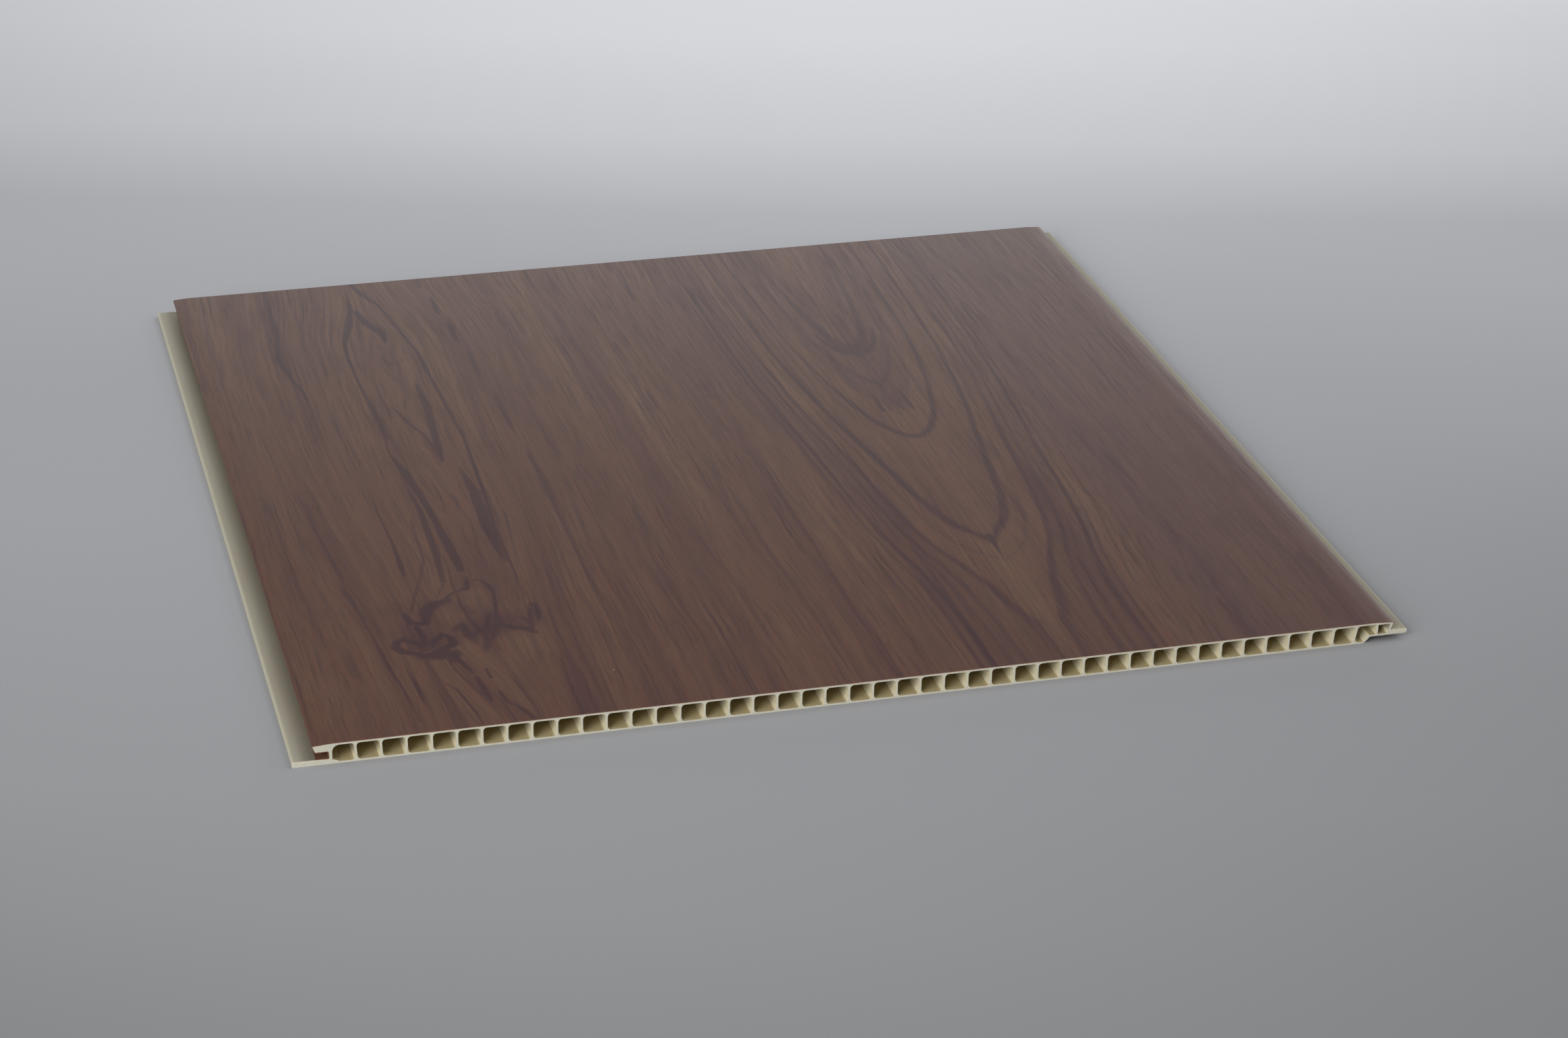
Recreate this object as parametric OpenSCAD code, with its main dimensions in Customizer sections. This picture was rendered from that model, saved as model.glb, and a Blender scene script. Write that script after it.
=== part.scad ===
// Hollow PVC wall panel with a wood-look film on its face: a short cut piece, lying face up.
// X runs across the width, Y along the extrusion and Z up from the back.
// The left edge has a fixing flange and a groove, and the right edge a tongue that
// fits the groove of the next panel. Both pieces are one section each, drawn in the
// XZ plane from the lip's edge at x = 0 and the back at z = 0, and run out along Y.

/* [Panel] */
// Width of the visible face
face_w = 400; // [250:1:600]
// Overall thickness, with the film
panel_t = 8; // [7:0.1:12]
// Length of the cut piece
piece_l = 404; // [100:1:3000]

/* [Cells] */
// Skin under the face
top_skin_t = 0.65; // [0.6:0.05:1.2]
// Skin at the back
back_skin_t = 0.65; // [0.6:0.05:1.2]
// Web between two cells
web_t = 0.65; // [0.5:0.05:1.2]
// Web spacing to aim at, before it is evened out over the width
web_pitch = 8.8; // [7:0.1:14]
// Fillet in the corners of a cell
cell_fillet_r = 1.3; // [0.4:0.1:1.8]
// How far the outermost webs lean outwards at their top
edge_lean = 1; // [0:0.1:1.4]

/* [Groove side] */
// How far the fixing flange stands out past the lip
flange_reach = 7; // [5:0.1:20]
// Thickness of the flange
flange_t = 2.15; // [1.8:0.05:2.6]
// Thickness of the lip over the groove, with its film
lip_t = 3.2; // [2.4:0.05:3.6]
// How far the lip's edge slopes in from top to bottom
lip_slope = 1.1; // [0.4:0.1:1.6]
// Depth of the groove under the lip
groove_depth = 5.7; // [4:0.1:8]
// Wall between the groove and the first cell
groove_wall_t = 1.15; // [0.8:0.05:1.6]
// How far the groove's floor falls towards its back
floor_dip = 0.2; // [0:0.05:0.3]

/* [Tongue side] */
// Gap between the tongue's end and the back of the groove
tongue_end_gap = 0.4; // [0.2:0.1:1]
// Gap between the tongue and the film in the groove, over and under it together
tongue_play = 0.45; // [0.2:0.05:0.6]
// Part of that gap which lies under the tongue
tongue_seat_gap = 0.1; // [0.05:0.01:0.15]
// Radius at the tongue's end
tongue_end_r = 0.85; // [0.3:0.05:0.9]
// How far the wall over the tongue is cut back from the face's edge
wall_undercut = 1.1; // [0.5:0.1:1.6]
// Thickness of that wall
edge_wall_t = 0.85; // [0.6:0.05:1.2]
// Gap between the next panel's flange and the step in the back
flange_play = 2.2; // [0.5:0.1:4]
// Width of the slope that forms the step
step_run = 2.4; // [1.5:0.1:3.5]
// Flat back between the last full web and the step
step_land = 3.5; // [2.5:0.1:5]
// Distance of the last web from the face's edge
last_web_inset = 6.6; // [5.5:0.1:7.5]

/* [Film and edges] */
// Thickness of the printed film
film_t = 0.2; // [0.1:0.01:0.3]
// How far the film runs out over the groove's floor
film_tuck = 4.4; // [2:0.1:4.6]
// Width of the eased strip along both edges of the face
ease_w = 7; // [3:0.5:12]
// How far the face falls over that strip
ease_drop = 0.45; // [0.1:0.05:0.6]
// Radius at the lip's edge
lip_r = 0.45; // [0.4:0.05:0.8]

/* [Hidden] */

ARC_STEPS = 3;
FACE_EDGE_R = 0.35;
GROOVE_CORNER_R = 0.3;
FLANGE_END_R = 0.4;
FIRST_CELL_R = 2.4;
SMALL_CELL_R = 0.5;
HAUNCH_W = 2.8;
HAUNCH_Z_SHARE = 0.8;
MOUTH_CLEARANCE = 0.4;

// Levels of the joint: the tongue lies between the groove's floor and its top.
groove_top_z = panel_t - lip_t;
groove_h = groove_top_z - flange_t - film_t;
tongue_z = flange_t + film_t + tongue_seat_gap;
tongue_t = groove_h - tongue_play;
tongue_top_z = tongue_z + tongue_t;
tongue_reach = groove_depth - tongue_end_gap;

// The cells lie between these two levels, and over the step in the back above the third.
cell_top_z = panel_t - film_t - top_skin_t;
cell_floor_z = back_skin_t;
raised_floor_z = tongue_z + back_skin_t;
small_cell_top_z = cell_top_z - ease_drop / 2;

// Places along the width.
step_top_x = face_w - flange_reach - flange_play;
step_foot_x = step_top_x - step_run;
first_cell_x = groove_depth + film_t + groove_wall_t;
first_web_x = first_cell_x - groove_wall_t / 2;
last_full_web_x = step_foot_x - step_land;
small_web_x = face_w - last_web_inset;
cell_count = round((last_full_web_x - first_web_x) / web_pitch);
pitch = (last_full_web_x - first_web_x) / cell_count;
centre_x = (face_w + tongue_reach - flange_reach) / 2;

function unit(v) = v / norm(v);
function turned(v, angle) = [v.x * cos(angle) - v.y * sin(angle), v.x * sin(angle) + v.y * cos(angle)];
function left_of(v) = [-v.y, v.x];
function xy(corner) = [corner[0], corner[1]];

// The arc of radius r that rounds the corner b between a and c.
function fillet(a, b, c, r) =
    r <= 0 ? [b] :
    let (
        u = unit(a - b),
        v = unit(c - b),
        half = acos(u * v) / 2,
        centre = b + unit(u + v) * r / sin(half),
        start = b + u * r / tan(half) - centre,
        sweep = sign(cross(b - a, c - b)) * (180 - 2 * half)
    )
    [for (i = [0 : ARC_STEPS]) centre + turned(start, sweep * i / ARC_STEPS)];

// Outline points of a list of [x, z, radius] corners.
function rounded(corners) =
    let (n = len(corners))
    [for (i = [0 : n - 1])
        each fillet(xy(corners[(i + n - 1) % n]), xy(corners[i]), xy(corners[(i + 1) % n]), corners[i][2])];

// The corner b, moved so that both of its sides shift by d to their left.
function shifted_corner(a, b, c, d) =
    let (n1 = left_of(unit(b - a)), n2 = left_of(unit(c - b)))
    b + d * (n1 + n2) / (1 + n1 * n2);

// An open path of corners, shifted by d to its left with its arcs kept concentric.
function shifted_path(path, d) =
    let (last = len(path) - 1)
    [for (i = [0 : last])
        let (
            b = xy(path[i]),
            a = i > 0 ? xy(path[i - 1]) : b - (xy(path[1]) - b),
            c = i < last ? xy(path[i + 1]) : b + (b - xy(path[last - 1])),
            p = shifted_corner(a, b, c, d),
            r = path[i][2]
        )
        [p.x, p.y, r > 0 ? max(r - d * sign(cross(b - a, c - b)), 0) : 0]];

function reversed(list) = [for (i = [len(list) - 1 : -1 : 0]) list[i]];

// Outer face of the film: from the tongue up the undercut wall, over the face,
// round the lip, under it, down the back of the groove and out over the groove's floor.
function film_face() =
    [
        [face_w - wall_undercut, tongue_top_z, 0],
        [face_w, panel_t - ease_drop, FACE_EDGE_R],
        [face_w - ease_w, panel_t, 0],
        [ease_w, panel_t, 0],
        [0, panel_t - ease_drop, lip_r],
        [lip_slope, groove_top_z, lip_r],
        [groove_depth, groove_top_z, GROOVE_CORNER_R],
        [groove_depth + floor_dip, flange_t + film_t - floor_dip, GROOVE_CORNER_R],
        [groove_depth - film_tuck, floor_z(groove_depth - film_tuck) + film_t, 0]
    ];

// Level of the groove's floor, which falls from the mouth to the back.
function floor_z(x) = flange_t - floor_dip * (x + MOUTH_CLEARANCE) / (groove_depth + MOUTH_CLEARANCE);

// The plastic's face under the film.
function film_back() = shifted_path(film_face(), film_t);

// Where the undercut wall's plastic meets the tongue.
function tongue_root() =
    let (foot = xy(film_back()[0]), up = xy(film_back()[1]) - foot)
    foot - up * (foot.y - tongue_top_z) / up.y;

// The step in the back, with the corners on either side of it.
back_line = [[0, 0], [step_foot_x, 0], [step_top_x, tongue_z], [face_w, tongue_z]];
function inner_step(i) = shifted_corner(back_line[i - 1], back_line[i], back_line[i + 1], back_skin_t);

function profile_outline() =
    concat(
        film_back(),
        [
            [-MOUTH_CLEARANCE, flange_t, 0],
            [-flange_reach, flange_t, FLANGE_END_R],
            [-flange_reach, 0, FLANGE_END_R],
            [step_foot_x, 0, 0],
            [step_top_x, tongue_z, 0],
            [face_w + tongue_reach, tongue_z, tongue_end_r],
            [face_w + tongue_reach, tongue_top_z, tongue_end_r],
            [tongue_root().x, tongue_root().y, 0]
        ]
    );

// The webs lean outwards near the edges, and half as much with each web from there.
function lean(i) = edge_lean / 2 * (pow(0.5, i) - pow(0.5, cell_count - i));
function web_x(i) = first_web_x + i * pitch;

// Faces of web i, as x at a cell's floor (end 1) and at its top (end -1).
function web_left(i, end) = web_x(i) - web_t / 2 + end * lean(i);
function web_right(i, end) = web_x(i) + web_t / 2 + end * lean(i);

function full_cell(i) =
    [
        [web_right(i, 1), cell_floor_z, cell_fillet_r],
        [web_left(i + 1, 1), cell_floor_z, cell_fillet_r],
        [web_left(i + 1, -1), cell_top_z, cell_fillet_r],
        [web_right(i, -1), cell_top_z, cell_fillet_r]
    ];

// The first cell, whose floor rises to the root of the flange.
function first_cell() =
    [
        [first_cell_x, flange_t * HAUNCH_Z_SHARE, 0],
        [first_cell_x + HAUNCH_W, cell_floor_z, 0],
        [web_left(1, 1), cell_floor_z, cell_fillet_r],
        [web_left(1, -1), cell_top_z, cell_fillet_r],
        [first_cell_x, cell_top_z, FIRST_CELL_R]
    ];

// The cell over the step in the back.
function step_cell() =
    [
        [web_right(cell_count, 1), cell_floor_z, cell_fillet_r],
        [inner_step(1).x, inner_step(1).y, 0],
        [inner_step(2).x, inner_step(2).y, 0],
        [small_web_x - web_t / 2, raised_floor_z, SMALL_CELL_R],
        [small_web_x - web_t / 2, cell_top_z, SMALL_CELL_R],
        [web_right(cell_count, -1), cell_top_z, cell_fillet_r]
    ];

// Inner face of the undercut wall at a level.
function edge_wall_x(z) =
    let (foot = film_face()[0], tip = film_face()[1], run = xy(tip) - xy(foot))
    foot[0] + (z - foot[1]) * run.x / run.y - (film_t + edge_wall_t) * norm(run) / run.y;

// The small cell over the tongue's root.
function small_cell() =
    [
        [small_web_x + web_t / 2, raised_floor_z, SMALL_CELL_R],
        [edge_wall_x(raised_floor_z), raised_floor_z, cell_fillet_r],
        [edge_wall_x(small_cell_top_z), small_cell_top_z, SMALL_CELL_R],
        [small_web_x + web_t / 2, small_cell_top_z, SMALL_CELL_R]
    ];

// Runs a section of the panel out along Y, about the middle of its width.
module run_out()
    translate([-centre_x, 0, 0])
        rotate([90, 0, 0])
            linear_extrude(height = piece_l, center = true)
                children();

module cells() {
    polygon(rounded(first_cell()));
    for (i = [1 : cell_count - 1])
        polygon(rounded(full_cell(i)));
    polygon(rounded(step_cell()));
    polygon(rounded(small_cell()));
}

module extruded_profile()
    color([0.86, 0.83, 0.72])
        run_out()
            difference() {
                polygon(rounded(profile_outline()));
                cells();
            }

module woodgrain_film()
    color([0.40, 0.29, 0.24])
        run_out()
            polygon(concat(rounded(film_face()), reversed(rounded(film_back()))));

extruded_profile();
woodgrain_film();
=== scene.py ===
"""Looks of the hollow PVC wall panel: a wood-print film, the cream profile and its sawn ends.

The film's skin has the film node's own section and more vertices. They carry the fields of the
printed figure, which the film's material turns into colour. The figure is drawn in mm: x goes
across the face from the lip's edge, and y goes along it from the near cut.
"""
import math

import bmesh
import bpy
import numpy as np
from mathutils import Matrix, Vector

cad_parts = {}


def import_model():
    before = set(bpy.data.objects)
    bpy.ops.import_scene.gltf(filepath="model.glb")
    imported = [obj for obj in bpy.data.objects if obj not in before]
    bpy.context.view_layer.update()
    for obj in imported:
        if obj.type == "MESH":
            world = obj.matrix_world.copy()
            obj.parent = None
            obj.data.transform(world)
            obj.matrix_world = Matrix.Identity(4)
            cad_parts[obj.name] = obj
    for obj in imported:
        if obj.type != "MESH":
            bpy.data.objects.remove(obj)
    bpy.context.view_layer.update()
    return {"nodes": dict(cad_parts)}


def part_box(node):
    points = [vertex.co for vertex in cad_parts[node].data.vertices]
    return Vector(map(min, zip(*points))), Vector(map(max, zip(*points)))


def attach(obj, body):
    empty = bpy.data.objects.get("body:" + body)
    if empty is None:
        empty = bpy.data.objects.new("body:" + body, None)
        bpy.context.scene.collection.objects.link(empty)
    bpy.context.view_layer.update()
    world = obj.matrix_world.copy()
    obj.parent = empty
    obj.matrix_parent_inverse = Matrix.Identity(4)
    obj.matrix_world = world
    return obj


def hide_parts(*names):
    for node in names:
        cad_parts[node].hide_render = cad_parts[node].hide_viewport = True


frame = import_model()

MM = 0.001
FLANGE_REACH = 7.0
FILM_T = 0.2
core_lo, core_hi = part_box("extruded_profile")
_, film_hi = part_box("woodgrain_film")
X0 = core_lo.x + FLANGE_REACH * MM  # the lip's edge, where the figure's x starts
Y0 = core_lo.y  # the near cut, where its y starts
LENGTH = (core_hi.y - core_lo.y) / MM
TOP = film_hi.z
X_SHIFT = -X0 / MM


# Shader building

MIX_A, MIX_B, MIX_COLOUR = 6, 7, 2  # colour sockets of the Mix node: its two inputs and its output


class Graph:
    """Builds the nodes of one material or world from expressions."""

    def __init__(self, owner):
        owner.use_nodes = True
        self.owner = owner
        self.nodes, self.links = owner.node_tree.nodes, owner.node_tree.links
        self.nodes.clear()

    def put(self, socket, value):
        if isinstance(value, Val):
            self.links.new(value.socket, socket)
        else:
            socket.default_value = value

    def node(self, kind, out=0, props=(), **inputs):
        """A new node's output. Inputs go by name, or by place as i0, i1 and so on."""
        n = self.nodes.new(kind)
        for k, v in dict(props).items():
            setattr(n, k, v)
        for k, v in inputs.items():
            by_place = k[0] == "i" and k[1:].isdigit()
            self.put(n.inputs[int(k[1:]) if by_place else k.replace("_", " ")], v)
        return Val(self, n.outputs[out])

    def math(self, op, *args, clamp=False):
        return self.node("ShaderNodeMath", props={"operation": op, "use_clamp": clamp},
                         **{f"i{k}": a for k, a in enumerate(args)})

    def coords(self, kind):
        return self.node("ShaderNodeTexCoord", out=kind)

    def parts(self, vector):
        """The x, y and z of a vector."""
        x = self.node("ShaderNodeSeparateXYZ", i0=vector)
        return [Val(self, s) for s in x.socket.node.outputs]

    def xyz(self, x, y, z):
        return self.node("ShaderNodeCombineXYZ", X=x, Y=y, Z=z)

    def attr(self, name):
        return self.node("ShaderNodeAttribute", out="Fac", props={"attribute_name": name})

    def noise(self, vector, scale=1.0, detail=2.0, rough=0.5, distort=0.0):
        return self.node("ShaderNodeTexNoise", Vector=vector, Scale=scale, Detail=detail,
                         Roughness=rough, Distortion=distort)

    def step(self, v, lo, hi, a=0.0, b=1.0, shape="SMOOTHSTEP"):
        """Goes from a to b while v goes from lo to hi, and stays level beyond them."""
        return self.node("ShaderNodeMapRange", props={"interpolation_type": shape},
                         i0=v, i1=lo, i2=hi, i3=a, i4=b)

    def mix(self, factor, a, b, blend="MIX"):
        n = self.nodes.new("ShaderNodeMix")
        n.data_type, n.blend_type = "RGBA", blend
        self.put(n.inputs[0], factor)
        self.put(n.inputs[MIX_A], a)
        self.put(n.inputs[MIX_B], b)
        return Val(self, n.outputs[MIX_COLOUR])

    def ramp(self, v, stops):
        """A colour looked up among (place, grey or colour) stops."""
        n = self.nodes.new("ShaderNodeValToRGB")
        elements = n.color_ramp.elements
        while len(elements) < len(stops):
            elements.new(0.5)
        for e, (place, colour) in zip(elements, stops):
            e.position = place
            e.color = (colour, colour, colour, 1.0) if isinstance(colour, float) else colour
        self.put(n.inputs[0], v)
        return Val(self, n.outputs[0])

    def bump(self, height, distance, strength):
        return self.node("ShaderNodeBump", Height=height, Distance=distance, Strength=strength)

    def surface(self, **inputs):
        shader = self.node("ShaderNodeBsdfPrincipled", **inputs)
        out = self.nodes.new("ShaderNodeOutputMaterial")
        self.links.new(shader.socket, out.inputs["Surface"])
        return self.owner


class Val:
    """A node's output, which takes part in sums and products."""

    def __init__(self, graph, socket):
        self.g, self.socket = graph, socket

    def __add__(self, o):
        return self.g.math("ADD", self, o)

    def __sub__(self, o):
        return self.g.math("SUBTRACT", self, o)

    def __rsub__(self, o):
        return self.g.math("SUBTRACT", o, self)

    def __mul__(self, o):
        return self.g.math("MULTIPLY", self, o)

    def __truediv__(self, o):
        return self.g.math("DIVIDE", self, o)


def srgb(r, g, b):
    """A colour given as 0 to 255 screen values."""
    def lin(c):
        c /= 255.0
        return c / 12.92 if c <= 0.04045 else ((c + 0.055) / 1.055) ** 2.4
    return (lin(r), lin(g), lin(b), 1.0)


# Wood figure

HEART_X = 276.0  # middle line of the arched figure
# How far the arches have opened, as y and the squared offset of a ring from the middle line.
HEART_Y = [0, 30, 60, 80, 95, 115, 140, 165, 196, 215, 251, 280, 291, 320, 350, 380, 404]
HEART_K = [2120, 2100, 2005, 1850, 1650, 1440, 1285, 1150, 935, 760, 505, 335, 275, 190, 118, 40, 0]


def ease(v, start, end):
    """Goes smoothly from 0 to 1 while v goes from start to end."""
    t = np.clip((v - start) / (end - start), 0.0, 1.0)
    return t * t * (3.0 - 2.0 * t)


def bell(v, middle, width):
    return np.exp(-((v - middle) / width) ** 2)


def stroke(x, y, points):
    """Darkness of a tapering streak through points of (x, y, half width, depth)."""
    best = np.zeros_like(x)
    for (xa, ya, wa, da), (xb, yb, wb, db) in zip(points, points[1:]):
        dx, dy = xb - xa, yb - ya
        t = np.clip(((x - xa) * dx + (y - ya) * dy) / (dx * dx + dy * dy), 0.0, 1.0)
        w, d = wa + (wb - wa) * t, da + (db - da) * t
        r2 = (x - xa - dx * t) ** 2 + (y - ya - dy * t) ** 2
        best = np.maximum(best, d * np.exp(-(r2 / (w * w)) ** 2))
    return best


# Streaks of the figure, each as points of (x, y, half width, depth).
DARK_STREAKS = [
    # drop at the tip of the lower arch, and ragged ends of the filled one over it
    [(276, 101, 2.2, 0.7), (276, 95, 1.2, 0.8), (276, 82, 0.4, 0.3)],
    [(262.6, 306, 0.9, 0.5), (266.4, 291, 1.2, 0.85), (270.0, 283.5, 1.7, 1.0),
     (276, 280.4, 2.6, 1.0), (282.2, 283.5, 1.7, 1.0), (286.2, 291, 1.2, 0.85),
     (290, 306, 0.9, 0.5)],
    [(262.2, 296, 0.6, 0.5), (264.5, 276, 0.7, 0.7), (269.6, 258, 0.8, 0.7), (276, 246, 1.1, 0.8),
     (282.4, 258, 0.8, 0.7), (287.6, 276, 0.7, 0.7), (290.6, 296, 0.6, 0.5)],
    [(276, 275, 7.5, 0.4), (276, 258, 4.2, 0.38), (276, 242, 5.2, 0.3), (276, 231, 6.6, 0.33)],
    [(270, 238, 1.0, 0.5), (269.6, 221, 0.8, 0.9)],
    [(273, 236, 0.8, 0.4), (273, 221, 0.6, 0.7)],
    [(277.4, 236, 0.9, 0.4), (277.8, 222, 0.7, 0.7)],
    [(282, 240, 1.0, 0.5), (282.6, 221, 0.9, 0.9)],
    # outline of the long eye on the left
    [(75, 396, 0.8, 0.2), (73.4, 374, 1.5, 0.65), (69.5, 356, 2.0, 0.75), (65.4, 340, 1.3, 0.7),
     (64, 322, 0.9, 0.6), (64.4, 300, 0.8, 0.55), (65.4, 276, 1.0, 0.65), (66, 238, 0.8, 0.6),
     (65, 222, 0.6, 0.3)],
    [(77.4, 406, 1.3, 0.65), (81, 391, 1.3, 0.7), (86, 378, 1.0, 0.65), (90, 352, 0.9, 0.6),
     (93.5, 326, 0.9, 0.6), (95.4, 276, 1.0, 0.7), (97, 234, 1.0, 0.65), (96, 205, 1.0, 0.7),
     (93.6, 150, 0.9, 0.6), (93.2, 109, 0.8, 0.5), (92.7, 90, 0.7, 0.4)],
    [(75.4, 372, 1.4, 0.6), (78, 358, 2.1, 0.8), (82.6, 347, 2.2, 0.8), (83, 337, 1.4, 0.4)],
    [(79, 336, 0.6, 0.45), (80, 326, 0.6, 0.3)],
    # spikes inside it
    [(87.5, 292, 1.3, 0.5), (88, 268, 1.7, 0.95), (86.5, 245, 1.6, 0.9), (85.5, 228, 1.4, 0.85),
     (84.5, 213, 0.8, 0.7)],
    [(74, 270, 0.8, 0.5), (78, 252, 0.9, 0.65), (82, 240, 0.9, 0.6), (84.5, 218, 1.0, 0.7)],
    [(70, 312, 0.6, 0.3), (71, 285, 0.9, 0.5), (72, 260, 0.8, 0.6)],
    [(76, 314, 0.5, 0.4), (79, 300, 0.6, 0.45), (80, 292, 0.6, 0.2)],
    [(65.5, 274, 1.2, 0.7), (66, 258, 1.4, 0.75), (67, 240, 0.9, 0.5)],
    [(65.5, 224, 0.9, 0.5), (68.2, 207, 2.0, 0.85), (70.8, 185, 1.6, 0.8), (72.4, 158, 1.4, 0.75),
     (73.4, 138, 2.1, 0.9), (74, 119, 1.6, 0.85)],
    [(66, 205, 0.8, 0.4), (68, 172, 1.4, 0.6), (67.7, 140, 1.9, 0.6), (66, 111, 1.6, 0.5)],
    [(63, 165, 0.8, 0.4), (62, 130, 0.9, 0.5), (58.5, 117, 0.8, 0.5), (54.6, 104.6, 0.8, 0.5),
     (50, 89, 0.8, 0.5)],
    [(76.5, 206, 0.6, 0.3), (78, 182, 0.8, 0.55), (77.5, 164, 0.6, 0.3)],
    [(90, 207, 1.2, 0.4), (91.6, 184, 2.3, 0.8), (90.4, 152, 2.4, 0.8), (91.6, 122, 1.4, 0.45)],
    [(51.5, 206, 0.7, 0.3), (52, 172, 0.8, 0.5), (53, 145, 0.9, 0.55), (52.8, 127, 1.4, 0.75),
     (52.6, 118, 1.0, 0.5)],
    [(60, 232, 0.6, 0.4), (59, 200, 0.6, 0.35), (61, 160, 0.6, 0.35), (60, 130, 0.6, 0.3)],
    # leaf and band over the knot
    [(75, 113, 0.8, 0.5), (74.2, 107, 1.3, 0.75), (73.4, 104, 1.5, 0.8), (73, 101, 0.8, 0.4)],
    [(73, 103.5, 1.1, 0.7), (68, 101, 1.1, 0.55), (64, 97, 1.2, 0.5)],
    [(74, 107, 0.8, 0.5), (78, 110, 0.8, 0.5), (81.4, 105, 1.0, 0.65), (82.3, 99, 1.0, 0.65),
     (81.6, 89, 1.0, 0.6), (79.4, 79, 0.9, 0.5)],
    [(54, 80, 2.4, 0.55), (55.4, 88, 3.2, 0.62), (59, 93.5, 3.6, 0.62), (64.6, 95, 2.4, 0.5)],
    [(53, 87, 1.0, 0.7), (57, 91, 1.0, 0.72), (61.5, 93.5, 0.9, 0.5)],
    [(47.5, 87.5, 1.5, 0.65), (48.4, 80.5, 1.4, 0.75), (53.5, 79, 1.7, 0.75), (55, 84, 1.4, 0.5)],
    [(49.8, 77, 1.4, 0.7), (50.6, 72, 1.6, 0.72), (50.9, 63, 1.4, 0.7)],
    [(61.5, 99, 1.2, 0.4), (64, 105, 1.2, 0.4), (67.7, 112, 1.0, 0.3)],
    # the knot: its darker ground, and two curled lobes
    [(47, 65, 8.0, 0.3), (67, 67, 8.5, 0.3), (85, 71, 5.0, 0.28)],
    [(44.2, 69.6, 1.0, 0.8), (41, 67.2, 1.4, 0.95), (39.8, 63.6, 1.7, 1.0), (41.8, 59.8, 1.9, 1.0),
     (46.5, 57.0, 1.5, 0.9), (51, 55.2, 1.2, 0.7)],
    [(43.8, 68.6, 1.0, 0.9), (46.8, 65.4, 1.6, 1.0), (50.2, 62.6, 1.4, 0.95)],
    [(58.0, 69.6, 0.9, 0.8), (60.6, 66.2, 1.4, 0.95), (60.6, 61.4, 1.9, 1.0),
     (56.2, 58.0, 1.8, 1.0), (51.8, 56.0, 1.2, 0.8)],
    [(57.4, 68.6, 1.1, 0.9), (55, 65.6, 1.5, 1.0), (52.6, 62.4, 1.4, 0.95)],
    [(45, 62.0, 1.2, 0.42), (50.5, 58.8, 1.6, 0.5), (56, 62.5, 1.2, 0.42)],
    [(48, 54.6, 2.8, 0.6), (54, 53.4, 3.2, 0.66), (60, 54.5, 2.4, 0.7), (58.5, 49.5, 2.6, 0.62)],
    # ragged band from the knot to the right
    [(63.5, 72.5, 2.2, 0.5), (66.5, 75.5, 2.0, 0.5), (67, 67, 2.6, 0.56), (68.5, 60, 1.8, 0.4)],
    [(70, 76, 1.2, 0.5), (72, 70, 1.6, 0.55), (69, 66, 1.8, 0.5)],
    [(77.3, 81, 1.0, 0.6), (75.5, 75, 1.4, 0.55), (74, 68, 2.0, 0.5), (73, 60, 2.2, 0.5),
     (71, 53.8, 1.4, 0.45)],
    [(80.6, 77.5, 1.4, 0.45), (78, 70, 2.2, 0.48), (75, 63, 2.2, 0.5), (71.5, 55.5, 1.5, 0.42)],
    [(80.8, 72, 1.6, 0.6), (84, 69, 1.9, 0.58), (88, 67.5, 1.9, 0.56), (91.4, 63.4, 1.5, 0.5)],
    [(86, 77, 1.4, 0.4), (89.5, 75, 1.5, 0.45), (91.6, 70, 1.5, 0.5)],
    [(93.8, 86, 1.2, 0.5), (91.8, 76, 1.4, 0.5), (90.4, 66, 1.3, 0.5)],
    [(95.6, 86, 0.9, 0.7), (95.2, 78, 1.2, 0.8), (94, 71, 0.8, 0.4)],
    # fan under the knot
    [(60.2, 50, 1.1, 0.6), (61.6, 44.5, 1.3, 0.62), (63.6, 38.5, 0.9, 0.5)],
    [(64, 35, 1.0, 0.55), (64.9, 26, 1.6, 0.62), (65.9, 17, 1.1, 0.58)],
    [(69.8, 23, 0.9, 0.5), (71, 15, 1.2, 0.55), (73.6, 12, 0.9, 0.45), (76, 7, 1.6, 0.56),
     (78.5, -1, 1.2, 0.5)],
    [(68.3, 40.5, 0.8, 0.65), (69, 33.5, 0.8, 0.65)],
    [(75.4, 37, 0.5, 0.3), (77, 27, 0.8, 0.5), (79, 14, 0.7, 0.45), (82, -1, 0.6, 0.3)],
    [(41.4, 43, 0.6, 0.4), (42.4, 33, 1.0, 0.75), (43, 18, 0.6, 0.4)],
    [(46, 36, 0.5, 0.3), (50, 22, 0.6, 0.35), (52, 6, 0.6, 0.3)],
    [(50, 38, 0.5, 0.3), (55.4, 27.7, 0.8, 0.5), (59.2, 10, 0.8, 0.5), (60, -2, 0.6, 0.4)],
    [(56, 44, 0.6, 0.35), (61, 32, 0.6, 0.4), (63.5, 20, 0.6, 0.3)],
    [(101.5, 56, 0.7, 0.4), (101.2, 35, 0.8, 0.5), (100, 12, 0.9, 0.45), (100, -2, 0.9, 0.4)],
    [(96, 42, 0.9, 0.4), (95, 20, 1.0, 0.45), (95, -2, 1.2, 0.5)],
    # grain that passes the knot on its left
    [(22, 228, 1.2, 0.2), (25, 180, 1.4, 0.4), (28.5, 135, 1.4, 0.45), (30.2, 104, 0.9, 0.6),
     (33, 80, 0.8, 0.45), (33.8, 64, 0.9, 0.45), (35.2, 48, 0.9, 0.6), (37.6, 30, 0.8, 0.5),
     (39, 8, 0.8, 0.45)],
    [(40, 406, 1.0, 0.45), (38.4, 352, 1.5, 0.6), (35.4, 328, 1.7, 0.6), (38, 306, 1.1, 0.6),
     (41, 290, 0.9, 0.55), (41, 276, 0.8, 0.35)],
    [(30, 290, 0.7, 0.5), (33, 265, 0.8, 0.45), (34, 225, 0.6, 0.3)],
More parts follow.
